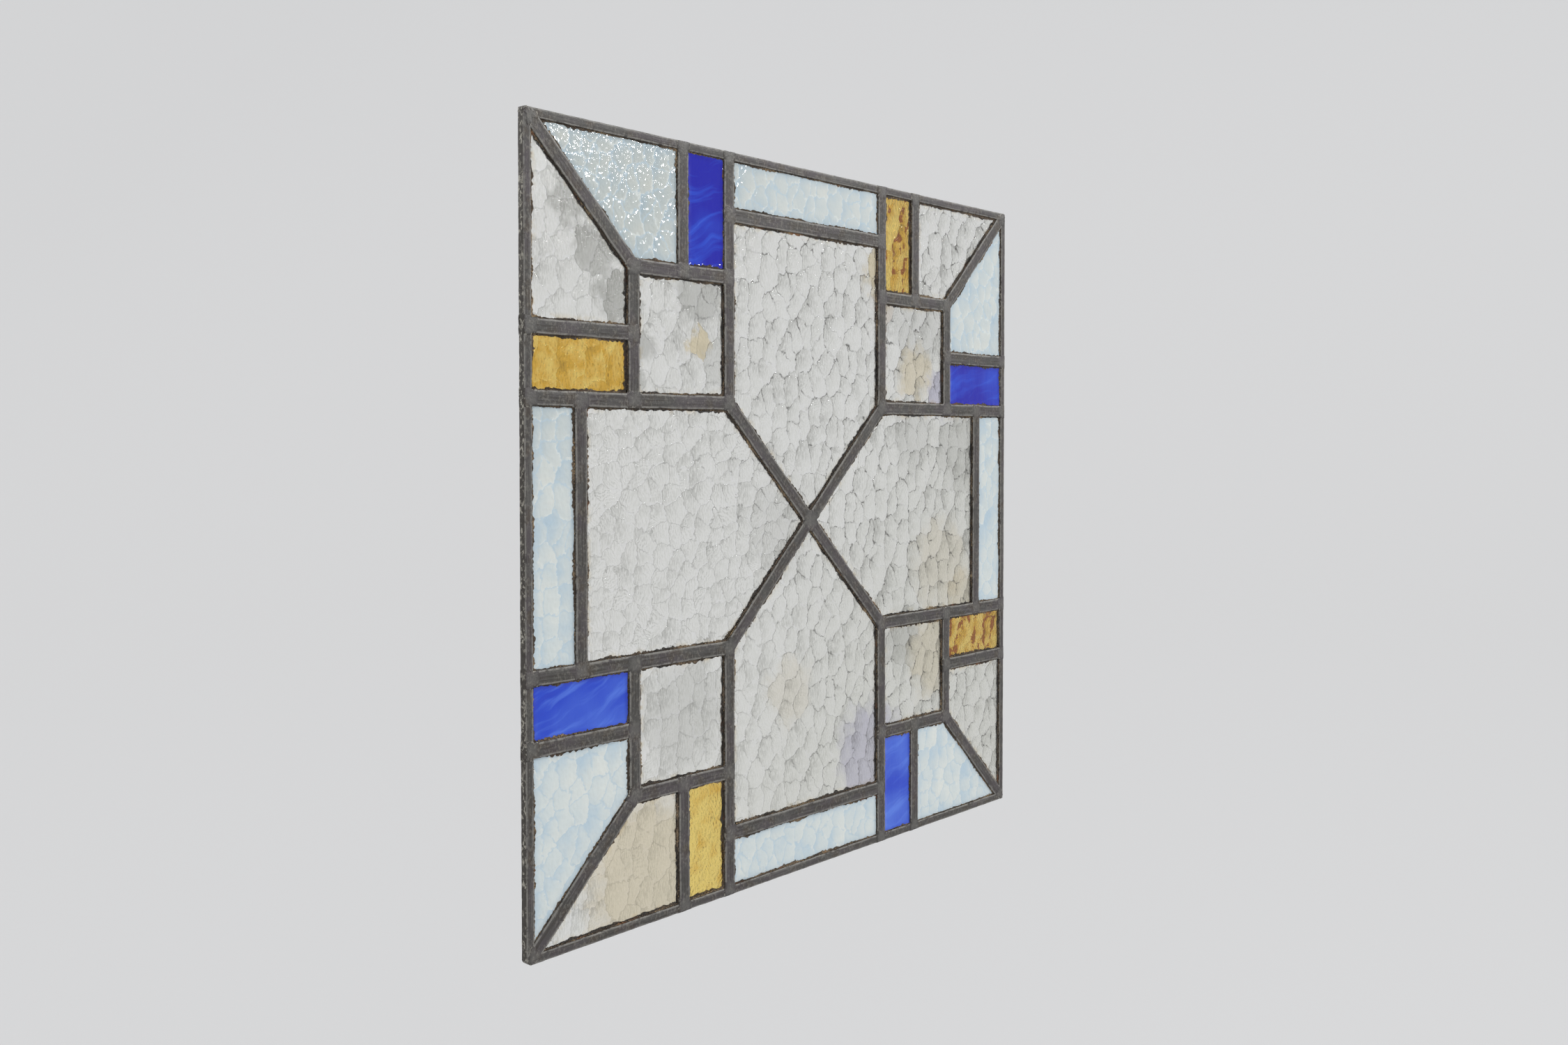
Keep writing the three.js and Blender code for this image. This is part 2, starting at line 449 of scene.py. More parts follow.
def section_object(name, outline):
    """An object that holds a came's outline for the tree to sweep."""
    loop = bpy.data.objects.new(name, polylines([outline], closed=True))
    bpy.context.scene.collection.objects.link(loop)
    return loop


def came_tree():
    """Geometry Nodes: sweeps a section along lines and works the lead until it is no longer straight."""
    tree, board, wires = new_geometry(
        "Lead came",
        [
            ("Section", "NodeSocketObject", None),
            ("Step", "NodeSocketFloat", 2 * MM),
            ("Waviness", "NodeSocketFloat", 0.4 * MM),
            ("Nicks", "NodeSocketFloat", 0.3 * MM),
            ("Shift", "NodeSocketFloat", 0.0),
            ("Material", "NodeSocketMaterial", None),
        ],
    )
    along = board.node("GeometryNodeSplineParameter", None, None, "Length")
    line = note(board, even_line(board, wires), "along", along, "FLOAT")
    position = board.node("GeometryNodeInputPosition")
    loop = note(board, section_loop(board, wires), "section", position, "FLOAT_VECTOR")
    sockets = {0: line, "Profile Curve": loop, "Fill Caps": True}
    swept = board.node("GeometryNodeCurveToMesh", None, sockets)
    place = shifted_place(board, wires, 37.0, 11.0)
    slow = board.wander(place, 34.0, 1.0, 0.5, (1.0, 1.0, 0.12))
    quick = board.wander(place, 5.5, 2.0, 0.6, (1.0, 1.0, 0.3))
    slow = board.vector("SCALE", slow, wires["Waviness"] * 2.0)
    quick = board.vector("SCALE", quick, wires["Nicks"] * 2.0)
    moved = board.vector("ADD", slow, quick)
    worked = board.node("GeometryNodeSetPosition", None, {0: swept, "Offset": moved})
    end_geometry(board, worked, wires["Material"])
    return tree


def note(board, geometry_wire, name, value, kind):
    """Notes a value on every point under a name, for the finish to read."""
    settings = {"data_type": kind, "domain": "POINT"}
    sockets = {0: geometry_wire, "Name": name, "Value": value}
    return board.node("GeometryNodeStoreNamedAttribute", settings, sockets)


def came_lines():
    """The line that each came follows, by its node's name."""
    near, tail = CAME / 2 - 0.6 * MM, 1.5 * MM
    rim = EDGE - BORDER + 0.5 * MM
    lines = {}
    for up, across in CORNERS:
        sy, sx = SIGN[up], SIGN[across]
        corner = up + "_" + across + "_"
        cross, square, bar = CROSS_LINE, SQUARE_LINE, BAR_LINE
        arms = {
            "fork_came": [
                [(square - tail, square - tail), (EDGE - 3.2 * MM, EDGE - 3.2 * MM)],
                [(square + tail, square), (cross + near, square)],
                [(square, square + tail), (square, cross + near)],
            ],
            "bar_came_flat": [[(bar, square + near), (bar, rim)]],
            "bar_came_side": [[(square + near, bar), (rim, bar)]],
            "cross_came_flat": [[(cross, cross - tail), (cross, rim)]],
            "cross_came_side": [[(cross - tail, cross), (rim, cross)]],
        }
        for part, made in arms.items():
            lines[corner + part] = [[(x * sx, y * sy) for x, y in line] for line in made]
    end = CROSS_LINE - near
    for side in ("top", "bottom"):
        y = STRIP_LINE * SIGN[side]
        lines[side + "_strip_came"] = [[(-end, y), (end, y)]]
    for side in ("left", "right"):
        x = STRIP_LINE * SIGN[side]
        lines[side + "_strip_came"] = [[(x, -end), (x, end)]]
    reach, butt = CROSS_LINE + tail, near / math.sqrt(2)
    lines["rising_diagonal_came"] = [[(-reach, -reach), (reach, reach)]]
    lines["falling_diagonal_came_upper"] = [[(-reach, reach), (-butt, butt)]]
    lines["falling_diagonal_came_lower"] = [[(butt, -butt), (reach, -reach)]]
    return lines


def border_lines():
    """The line that each border came follows, anticlockwise, so that its outer side is on the right."""
    far, line = EDGE, BORDER_LINE
    return {
        "top_border_came": [[(far, line), (-far, line)]],
        "right_border_came": [[(line, -far), (line, far)]],
        "bottom_border_came": [[(-far, -line), (far, -line)]],
        "left_border_came": [[(-line, far), (-line, -far)]],
    }


def mitre(points, upright):
    """Cuts both ends of a border came back to the corner's diagonal."""
    run, side = (1, 0) if upright else (0, 1)
    reach = np.abs(points[:, side])
    points[:, run] = np.clip(points[:, run], -reach, reach)
    return points


def round_corners(points):
    """Wears the panel's outer corners round."""
    for (sx, sy), radius in WORN_CORNERS.items():
        start = EDGE - 0.2 * MM - radius
        x, y = points[:, 0] * sx - start, points[:, 1] * sy - start
        past = (x > 0) & (y > 0)
        length = np.hypot(x, y)
        pull = np.where(past & (length > radius), radius / np.maximum(length, 1e-9), 1.0)
        points[:, 0] = np.where(past, (start + x * pull) * sx, points[:, 0])
        points[:, 1] = np.where(past, (start + y * pull) * sy, points[:, 1])
    return points


def inside_box(points, margin=0.0):
    """Keeps points within the panel's outer sizes, and this much clear of its outer sides."""
    limits = np.array([EDGE - margin, EDGE - margin, HALF_DEPTH])
    return np.clip(points, -limits, limits)


# ---- solder ----


def joints():
    """Each soldered joint: where it is, and its arms as (angle, length, half width)."""
    wide, thin = CAME / 2 + 0.35 * MM, BORDER / 2 - 0.1 * MM
    cross, square, bar, strip, rim = CROSS_LINE, SQUARE_LINE, BAR_LINE, STRIP_LINE, BORDER_LINE
    corner = EDGE - 4.6 * MM

    def inner(*angles):
        return [(angle, 6.8 * MM, wide) for angle in angles]

    on_border = [(0, 6.2 * MM, thin), (180, 6.2 * MM, thin), (270, BORDER / 2 + 5 * MM, wide)]
    at_corner = [(180, 7 * MM, 2.4 * MM), (270, 7 * MM, 2.4 * MM), (45, 4.5 * MM, 2.4 * MM)]
    one = [((cross, cross), inner(90, 0, 225)), ((square, square), inner(45, 180, 270))]
    one.append(((corner, corner), at_corner))
    paired = [
        ((cross, square), inner(90, 270, 0)),
        ((bar, square), inner(0, 180, 90)),
        ((cross, strip), inner(90, 270, 180)),
        ((bar, rim), on_border),
        ((cross, rim), on_border),
    ]
    for (x, y), arms in paired:
        one.append(((x, y), arms))
        one.append(((y, x), [((90 - angle) % 360, *size) for angle, *size in arms]))
    made = [((0.0, 0.0), [(math.radians(a), 8.5 * MM, wide) for a in (45, 135, 225, 315)])]
    for up, across in CORNERS:
        sy, sx = SIGN[up], SIGN[across]
        for (x, y), arms in one:
            turned = []
            for angle, *size in arms:
                a = math.radians(angle)
                turned.append((math.atan2(math.sin(a) * sy, math.cos(a) * sx), *size))
            made.append(((x * sx, y * sy), turned))
    return made


def pool_reach(arms, steps, blur):
    """How far a pool runs from its middle, for each step round it."""
    angles = np.linspace(-math.pi, math.pi, steps, endpoint=False)
    reach = np.zeros(steps)
    for angle, length, half in arms:
        ahead, aside = np.cos(angles - angle), np.abs(np.sin(angles - angle))
        arm = np.minimum(half / np.maximum(aside, 1e-6), length / np.maximum(ahead, 1e-6))
        reach = np.maximum(reach, np.where(ahead > 0, arm, 0.0))
    spread = np.exp(-((np.arange(-blur, blur + 1) / 5.0) ** 2))
    padded = np.concatenate([reach[-blur:], reach, reach[:blur]])
    return np.convolve(padded, spread / spread.sum(), "valid")


def solder_pool(place, arms, side, height, spokes=56):
    """One pool of solder over a joint, as points and faces. It feathers out along each arm."""
    steps, thick = 360, 1.15 * MM
    reach = pool_reach(arms, steps, 12)
    seed = Vector((place[0] * 90, place[1] * 90, side * 7.0))
    shares = (0.3, 0.55, 0.74, 0.87, 0.95, 1.0, 1.0)
    falls = (0.0, 0.03, 0.09, 0.18, 0.32, 0.62, 1.0)
    points = [(*place, height)]
    for share, fall in zip(shares, falls):
        for i in range(spokes):
            angle = -math.pi + 2 * math.pi * i / spokes
            ragged = noise.noise(seed + Vector((math.cos(angle), math.sin(angle), 0.3)) * 2.2)
            radius = reach[int(i * steps / spokes)] * (1 + 0.07 * ragged * share) * share
            x, y = place[0] + math.cos(angle) * radius, place[1] + math.sin(angle) * radius
            lump = noise.noise(Vector((x, y, side * 0.3)) * 320.0)
            z = height - fall * thick + (0.09 * MM * lump - 0.03 * MM) * (1 - fall)
            points.append((x, y, z))
    points.append((*place, height - thick))
    last, base = len(points) - 1 - spokes, len(points) - 1
    faces = [(0, 1 + i, 1 + (i + 1) % spokes) for i in range(spokes)]
    for first in range(1, last, spokes):
        faces += ring_faces(first, first + spokes, spokes)
    faces += [(base, last + (i + 1) % spokes, last + i) for i in range(spokes)]
    points = np.array(points)
    points[:, 2] *= side
    return points, faces


# ---- panes ----

# Faces along a side of a pane's front to each one on its back. rim_faces is set out for four.
COARSE = 4


def turned_left(corners):
    """The corners in anticlockwise order."""
    area = sum(a[0] * b[1] - b[0] * a[1] for a, b in zip(corners, corners[1:] + corners[:1]))
    return corners if area > 0 else corners[::-1]


def outline_of(node):
    """The corners of a pane's outline on the bench, anticlockwise."""
    places = {
        (round(v.co.x - CENTRE.x, 6), round(v.co.z - CENTRE.z, 6))
        for v in frame["nodes"][node].data.vertices
    }
    places = sorted(places)
    hull = [places[i] for i in geometry.convex_hull_2d([Vector(p) for p in places])]
    kept = []
    for before, here, after in zip(hull[-1:] + hull[:-1], hull, hull[1:] + hull[:1]):
        one, two = Vector(here) - Vector(before), Vector(after) - Vector(here)
        if abs(one.x * two.y - one.y * two.x) > 1e-4 * one.length * two.length:
            kept.append(here)
    return turned_left(kept)


def sides_of(corners):
    """Each side of an outline: a point on it, its inward normal, and how far the lead covers the glass."""
    made = []
    for here, after in zip(corners, corners[1:] + corners[:1]):
        run = (Vector(after) - Vector(here)).normalized()
        inward = Vector((-run.y, run.x))
        on_border = abs(inward.dot(Vector(here))) > EDGE - BORDER
        cover = BORDER - (EDGE - abs(inward.dot(Vector(here)))) if on_border else CAME / 2 - INSET
        made.append((Vector(here), inward, cover))
    return made


def opening_of(corners):
    """The part of a pane's outline that shows between the flanges."""
    sides = sides_of(corners)
    made = []
    for (p, n, c), (q, m, d) in zip(sides[-1:] + sides[:-1], sides):
        one, two = n.dot(p) + c, m.dot(q) + d
        cross = n.x * m.y - n.y * m.x
        made.append(((one * m.y - two * n.y) / cross, (n.x * two - m.x * one) / cross))
    return made


def chord(corners, axis, at):
    """Where a line across an outline enters and leaves it."""
    found = []
    for a, b in zip(corners, corners[1:] + corners[:1]):
        low, high = sorted((a[axis], b[axis]))
        if low - 1e-9 <= at <= high + 1e-9 and high - low > 1e-9:
            share = (at - a[axis]) / (b[axis] - a[axis])
            found.append(a[1 - axis] + (b[1 - axis] - a[1 - axis]) * share)
    return min(found), max(found)


def stations_along(corners, axis, step):
    """Places along one axis at which a pane's grid has a row, with every corner among them."""
    marks = sorted({round(c[axis], 7) for c in corners})
    made = [marks[0]]
    for a, b in zip(marks, marks[1:]):
        if b - a > 1e-5:
            count = COARSE * math.ceil((b - a) / step / COARSE)
            made += [a + (b - a) * (i + 1) / count for i in range(count)]
    return made


def long_axis(corners):
    """The axis along which a pane's rows are laid: the one at whose ends it is wider."""
    ends = []
    for axis in (0, 1):
        values = [c[axis] for c in corners]
        spans = [chord(corners, axis, v) for v in (min(values) + 1e-7, max(values) - 1e-7)]
        ends.append(min(b - a for a, b in spans))
    return 0 if ends[0] > ends[1] else 1


def blank(node, step):
    """A pane cut flat: a fine grid in front, for the relief, and a plain back with wider faces."""
    corners = outline_of(node)
    axis = long_axis(corners)
    stations = stations_along(corners, axis, step)
    chords = [chord(corners, axis, v) for v in stations]
    columns = COARSE * math.ceil(max(b - a for a, b in chords) / step / COARSE)
    rows = len(stations)
    flat = np.empty((rows, columns + 1, 2))
    for i, (at, (a, b)) in enumerate(zip(stations, chords)):
        flat[i, :, axis] = at
        flat[i, :, 1 - axis] = np.linspace(a, b, columns + 1)
    thick = HALF_GLASS - 0.05 * MM
    front = [(x, y, thick) for x, y in flat.reshape(-1, 2)]
    back = [(x, y, -thick) for x, y in flat[::COARSE, ::COARSE].reshape(-1, 2)]
    start = len(front)
    faces = grid_faces(rows, columns + 1, 0)
    faces += [f[::-1] for f in grid_faces((rows - 1) // COARSE + 1, columns // COARSE + 1, start)]
    faces += rim_faces(rows, columns + 1, start)
    mesh = bpy.data.meshes.new("blank")
    mesh.from_pydata(front + back, [], faces)
    points = np.array(front + back)
    rim = np.full(len(points), 1.0)
    for p, n, cover in sides_of(corners):
        rim = np.minimum(rim, (points[:, 0] - p.x) * n.x + (points[:, 1] - p.y) * n.y - cover)
    mesh.attributes.new("rim", "FLOAT", "POINT").data.foreach_set("value", rim.astype(np.float32))
    return mesh


def grid_faces(rows, columns, start):
    """Four-sided faces over a grid of points."""
    firsts = [start + i * columns + j for i in range(rows - 1) for j in range(columns - 1)]
    return [(k, k + columns, k + columns + 1, k + 1) for k in firsts]


def perimeter(rows, columns):
    """The points round a grid, in order, as (row, column)."""
    made = [(0, j) for j in range(columns - 1)]
    made += [(i, columns - 1) for i in range(rows - 1)]
    made += [(rows - 1, j) for j in range(columns - 1, 0, -1)]
    return made + [(i, 0) for i in range(rows - 1, 0, -1)]


def rim_faces(rows, columns, start):
    """The cut edge of a pane, from four front points to each back point."""
    fine = [i * columns + j for i, j in perimeter(rows, columns)]
    wide = (columns - 1) // COARSE + 1
    coarse = [start + i * wide + j for i, j in perimeter((rows - 1) // COARSE + 1, wide)]
    faces = []
    for k, (here, after) in enumerate(zip(coarse, coarse[1:] + coarse[:1])):
        run = [fine[(COARSE * k + n) % len(fine)] for n in range(COARSE + 1)]
        faces += [(run[0], run[1], here), (run[1], run[2], here)]
        faces += [(run[2], after, here), (run[2], run[3], after), (run[3], run[4], after)]
    return faces


def hammered(board, place, cut, cell):
    """Rolled relief in cells, each with its own lean, and how far each cell faces a fixed light from the
    upper left, from which the finishes paint light and shade. Returns wires by name.
    """
    flat = board.vector("ADD", board.vector("MULTIPLY", place, (1.0, 1.0, 0.0)), cut)
    bend = board.wander(flat, 12.0, 3.0, 0.62, (9.0, 12.0, 0.0), flat=True)
    cells = board.vector("DIVIDE", board.vector("ADD", flat, bend), cell)
    wires = {}
    for feature in ("F1", "DISTANCE_TO_EDGE"):
        settings = {"voronoi_dimensions": "2D", "feature": feature}
        sockets = {"Vector": cells, "Scale": 1.0, "Randomness": 0.9}
        found = board.node("ShaderNodeTexVoronoi", settings, sockets)
        wires |= {feature + s.name: Wire(board, s) for s in found.socket.node.outputs}
    lean = board.vector("SUBTRACT", wires["F1Color"], (0.5, 0.5, 0.5))
    arm = board.vector("SUBTRACT", cells, wires["F1Position"])
    distance, edge = wires["F1Distance"], wires["DISTANCE_TO_EDGEDistance"]
    slope = board.vector("ADD", board.vector("SCALE", lean, 0.55), board.vector("SCALE", arm, -1.5))
    height = 0.45 - distance * distance * 0.76 + board.vector("DOT_PRODUCT", lean, arm) * 0.55
    height = height + board.step(edge, 0.0, 0.09, 0.0, 0.2)
    height = height + board.noise(flat, 4.0, 2.0, 0.5, flat=True) * 0.22
    # Painted light: each cell's slope against a fixed light from the upper left, for painted lit and shaded
    # cells.
    facing = board.vector("DOT_PRODUCT", slope, (-0.8, 0.5, 0.0))
    return {"flat": flat, "lean": lean, "arm": arm, "edge": edge, "height": height, "facing": facing}


def pane_tree():
    """Geometry Nodes: rolls the hammered relief into the front of a flat pane."""
    tree, board, wires = new_geometry(
        "Hammered pane",
        [("Depth", "NodeSocketFloat", 0.35 * MM), ("Material", "NodeSocketMaterial", None)],
    )
    position = board.node("GeometryNodeInputPosition")
    kind, settings = "GeometryNodeInputNamedAttribute", {"data_type": "FLOAT_VECTOR"}
    cut, cell = (board.node(kind, settings, {"Name": name}, "Attribute") for name in ("cut", "cell"))
    height = hammered(board, board.vector("SCALE", position, 1 / MM), cut, cell)["height"]
    front = board.maths("GREATER_THAN", board.split(position)[2], 0.0)
    drop = board.combine(0.0, 0.0, (height - 1.0) * wires["Depth"] * front)
    moved = board.node("GeometryNodeSetPosition", None, {0: wires["Geometry"], "Offset": drop})
    end_geometry(board, moved, wires["Material"])
    return tree


def mark_sheet(mesh, count, cell):
    """Notes on a pane which part of its sheet it was cut from, and the size of the relief's cells."""
    rows = len(mesh.vertices)
    for name, value in (("cut", (count * 137.0, count * 71.0, 0.0)), ("cell", cell)):
        layer = mesh.attributes.new(name, "FLOAT_VECTOR", "POINT")
        layer.data.foreach_set("vector", np.tile(np.array(value, np.float32), rows))


# ---- cement ----


def bead_section(reach, height):
    """Outline of a cement bead: under the flange on the left, feathered on to the glass on the right."""
    return [
        (-1.4 * MM, -0.15 * MM),
        (-1.4 * MM, 0.35 * MM),
        (-0.1 * MM, height),
        (reach * 0.45, height * 0.55),
        (reach, -0.15 * MM),
    ]


def bead_tree():
    """Geometry Nodes: lays a ragged bead of cement round each opening."""
    tree, board, wires = new_geometry(
        "Cement bead",
        [
            ("Section", "NodeSocketObject", None),
            ("Step", "NodeSocketFloat", 1.1 * MM),
            ("Raggedness", "NodeSocketFloat", 0.5),
            ("Shift", "NodeSocketFloat", 0.0),
            ("Material", "NodeSocketMaterial", None),
        ],
    )
    place = shifted_place(board, wires, 17.0, 31.0)
    slow = board.noise(place, 22.0, 2.0, 0.6)
    quick = board.noise(place, 1.6, 2.0, 0.7)
    lumps = board.step(slow, 0.38, 0.66, 0.35, 1.2) * (1.0 + (quick - 0.5) * wires["Raggedness"] * 7.0)
    size = board.maths("MAXIMUM", lumps, 0.12)
    line, loop = even_line(board, wires), section_loop(board, wires)
    sockets = {0: line, "Profile Curve": loop, "Scale": size, "Fill Caps": True}
    swept = board.node("GeometryNodeCurveToMesh", None, sockets)
    end_geometry(board, swept, wires["Material"])
    return tree


def crumb_tree():
    """Geometry Nodes: scatters crumbs of cement along the edges of the cames."""
    tree, board, wires = new_geometry(
        "Cement crumbs",
        [
            ("Spacing", "NodeSocketFloat", 1.9 * MM),
            ("Share", "NodeSocketFloat", 0.5),
            ("Size", "NodeSocketFloat", 0.4 * MM),
            ("Scatter", "NodeSocketFloat", 0.7 * MM),
            ("Seed", "NodeSocketInt", 3),
            ("Material", "NodeSocketMaterial", None),
        ],
    )
    kind, seed = "FunctionNodeRandomValue", wires["Seed"]

    def drawn(low, high):
        """A vector drawn at random for each crumb."""
        return board.node(kind, {"data_type": "FLOAT_VECTOR"}, {0: low, 1: high, "Seed": seed})

    line = board.node("GeometryNodeMeshToCurve", None, {0: wires["Geometry"]})
    sockets = {0: line, "Length": wires["Spacing"]}
    dots = board.node("GeometryNodeCurveToPoints", {"mode": "LENGTH"}, sockets)
    jump = board.vector("SCALE", drawn((-1.0, -1.0, -0.1), (1.0, 1.0, 0.5)), wires["Scatter"])
    dots = board.node("GeometryNodeSetPosition", None, {0: dots, "Offset": jump})
    sockets = {"Probability": wires["Share"], "Seed": seed}
    chosen = board.node(kind, {"data_type": "BOOLEAN"}, sockets, 3)
    ball = board.node("GeometryNodeMeshIcoSphere", None, {"Radius": 1.0, "Subdivisions": 1})
    turn = drawn((0.0, 0.0, 0.0), (6.28, 6.28, 6.28))
    size = board.vector("SCALE", drawn((0.35, 0.3, 0.25), (1.5, 1.0, 0.8)), wires["Size"])
    sockets = {0: dots, "Selection": chosen, "Instance": ball, "Rotation": turn, "Scale": size}
    crumbs = board.node("GeometryNodeInstanceOnPoints", None, sockets)
    end_geometry(board, crumbs, wires["Material"])
    return tree


# ---- finishes ----


def lead_finish(colours, name, half=None):
    """Dull grey lead: clouds, draw lines, rubbed edges with a painted highlight, and sides darkened with dirt
    and painted shade. Without a half width it is solder.
    """
    material, board = new_material(name)
    place = bench_place(board)
    clouds = board.noise(place, 26.0, 3.0, 0.55)
    warm = board.noise(board.vector("ADD", place, (211.0, 47.0, 9.0)), 13.0, 3.0, 0.6)
    blotch = board.noise(board.vector("ADD", place, (31.0, 7.0, 4.0)), 4.5, 3.0, 0.65)
    fine = board.noise(place, 1.0, 3.0, 0.7)
    bright = colours.lead_bright
    tone = board.mix(board.step(clouds, 0.40, 0.60), colours.lead, colours.lead_violet)
    tone = board.mix(board.step(warm, 0.48, 0.70) * 0.8, tone, colours.lead_brown)
    tone = board.mix(board.step(blotch, 0.50, 0.72) * 0.45, tone, bright)
    if half is None:
        height = board.noise(place, 2.6, 3.0, 0.6)
        level = abs(board.split(place)[2])
        side = board.step(level, 2.70, 2.79, 0.75, 0.0)
        rough = 0.36 + clouds * 0.2
        tone = board.mix(board.step(level, 2.80, 2.93) * 0.55, tone, bright)
    else:
        section = board.vector("SCALE", board.attribute("section", "Vector"), 1 / MM)
        across, depth, _ = board.split(section)
        along = board.attribute("along") / MM
        drawn = board.noise(board.combine(along * 0.03, across * 0.9, depth * 0.9), 1.0, 3.0, 0.65)
        height = drawn * 0.7 + blotch * 0.6
        side = board.step(abs(depth), 2.05, 2.4, 1.0, 0.0)
        rough = 0.38 + drawn * 0.24
        tone = board.mix(board.step(drawn, 0.38, 0.48, 0.6, 0.0), tone, colours.grime_and_shade)
        tone = board.mix(board.step(drawn, 0.54, 0.68) * 0.6, tone, bright)
        # Rubbed edges: wear, with a painted highlight along both arrises.
        rubbed_wear_and_highlight = board.step(abs(across), half / MM - 1.45, half / MM - 0.85)
        rubbed_wear_and_highlight = rubbed_wear_and_highlight * board.step(blotch, 0.32, 0.52)
        tone = board.mix(rubbed_wear_and_highlight * 0.8, tone, [c * 1.7 for c in bright])
    speck = board.noise(board.vector("MULTIPLY", place, (1.0, 0.6, 1.0)), 1.5, 2.0, 0.6)
    pale = board.step(speck, 0.52, 0.60) * board.step(warm, 0.36, 0.52)
    # Dirt and painted shade: the cames' sides below the face, and the solder's flanks below the came face, go
    # dark.
    tone = board.mix(side * 0.9, tone, colours.grime_and_shade)
    tone = board.mix(pale * (0.14 + side * 0.62), tone, colours.oxide)
    tone = board.mix(board.step(fine, 0.28, 0.45, 0.6, 0.0), tone, colours.grime_and_shade)
    board.shade(
        Base_Color=tone,
        Metallic=0.2,
        Roughness=rough + fine * 0.12,
        Normal=board.bump(height + fine * 0.35, 0.4 * MM),
    )
    return material


def cement_finish(colours, name, dry):
    """Old cement, from near black through brown to rust and tan. Dry crumbs have more of the tan."""
    material, board = new_material(name)
    place = bench_place(board)
    broad = board.noise(place, 30.0, 2.0, 0.6)
    fine = board.noise(place, 1.1, 3.0, 0.7)
    rust = board.noise(board.vector("ADD", place, (5.0, 300.0, 0.0)), 16.0, 3.0, 0.6)
    tone = board.ramp(
        fine * 1.1 + (broad - 0.5) * 1.2 + (dry - 0.05),
        (0.0, [c * 0.4 for c in colours.cement]),
        (0.42, colours.cement),
        (0.60, [c * 2.2 for c in colours.cement]),
        (0.85, colours.cement_tan),
    )
    tone = board.mix(board.step(rust, 0.58, 0.74) * 0.7, tone, colours.rust)
    board.shade(Base_Color=tone, Roughness=0.92, Normal=board.bump(fine, 0.3 * MM))
    return material


def glass_parts(board):
    """What every pane's finish reads: its relief, distance from the lead and fine roller lines."""
    place = bench_place(board)
    cut, cell = board.attribute("cut", "Vector"), board.attribute("cell", "Vector")
    parts = hammered(board, place, cut, cell)
    parts["place"] = place
    parts["x"], parts["y"], z = board.split(place)
    parts["front"] = board.step(z, -0.6, 0.2)
    parts["rim"] = board.attribute("rim") / MM
    drawn_out = board.vector("MULTIPLY", parts["flat"], (1.0, 0.22, 1.0))
    parts["streak"] = board.noise(drawn_out, 1.0, 3.0, 0.65, flat=True)
    across = board.vector("MULTIPLY", parts["lean"], (1.2, 0.9, 0.0))
    across = board.vector("NORMALIZE", board.vector("ADD", across, (0.4, 0.0, 0.0)))
    parts["reach"] = board.vector("MULTIPLY", parts["arm"], cell)
    phase = board.vector("DOT_PRODUCT", parts["reach"], across) * 2.6 + parts["height"] * 7.0
    parts["comb"] = board.maths("SINE", phase) * board.split(cell)[2]
    return parts


def shadow_side(board, parts, reach):
    """The lower right edge of each cell, broken into short lengths: where painted shade goes."""
    torn = board.noise(parts["flat"], 7.0, 3.0, 0.6, flat=True)
    line = board.step(parts["edge"], 0.0, reach, 1.0, 0.0)
    return line * board.step(parts["facing"], -0.35, -0.05, 1.0, 0.0) * board.step(torn, 0.46, 0.53)


def lit_side(board, parts, reach):
    """The upper left edge of each cell, broken into short lengths: where a painted highlight goes."""
    torn = board.noise(parts["flat"], 4.2, 2.0, 0.6, flat=True)
    line = board.step(parts["edge"], 0.0, reach, 1.0, 0.0)
    return line * board.step(parts["facing"], 0.0, 0.3) * board.step(torn, 0.42, 0.54)


def stains_and_painted_light(board, parts, colours, tone):
    """The clear glass's colour with its stains, and the painted light and shade listed with them. Each one
    follows the cells and has a ragged edge.
    """
    place, reach = parts["place"], board.vector("SCALE", parts["reach"], 0.5)
    ragged = board.wander(place, 14.0, 3.0, 0.6, (20.0, 20.0, 0.0), flat=True)
    spread = board.vector("SUBTRACT", board.vector("ADD", place, ragged), reach)
    spread = board.vector("MULTIPLY", spread, (1.0, 1.0, 0.0))
    tints = {
        "tan": colours.tan_stain_and_amber_light,
        "violet": colours.stain_violet,
        "brown": colours.stain_brown,
        "grey": colours.grey_shade,
    }
    for at_x, at_y, size, tint, share in STAINS_AND_PAINTED_LIGHT:
        away = board.vector("DISTANCE", spread, (at_x, at_y, 0.0))
        tone = board.mix(board.step(away, size * 0.55, size, share, 0.0), tone, tints[tint], "MULTIPLY")
    return tone


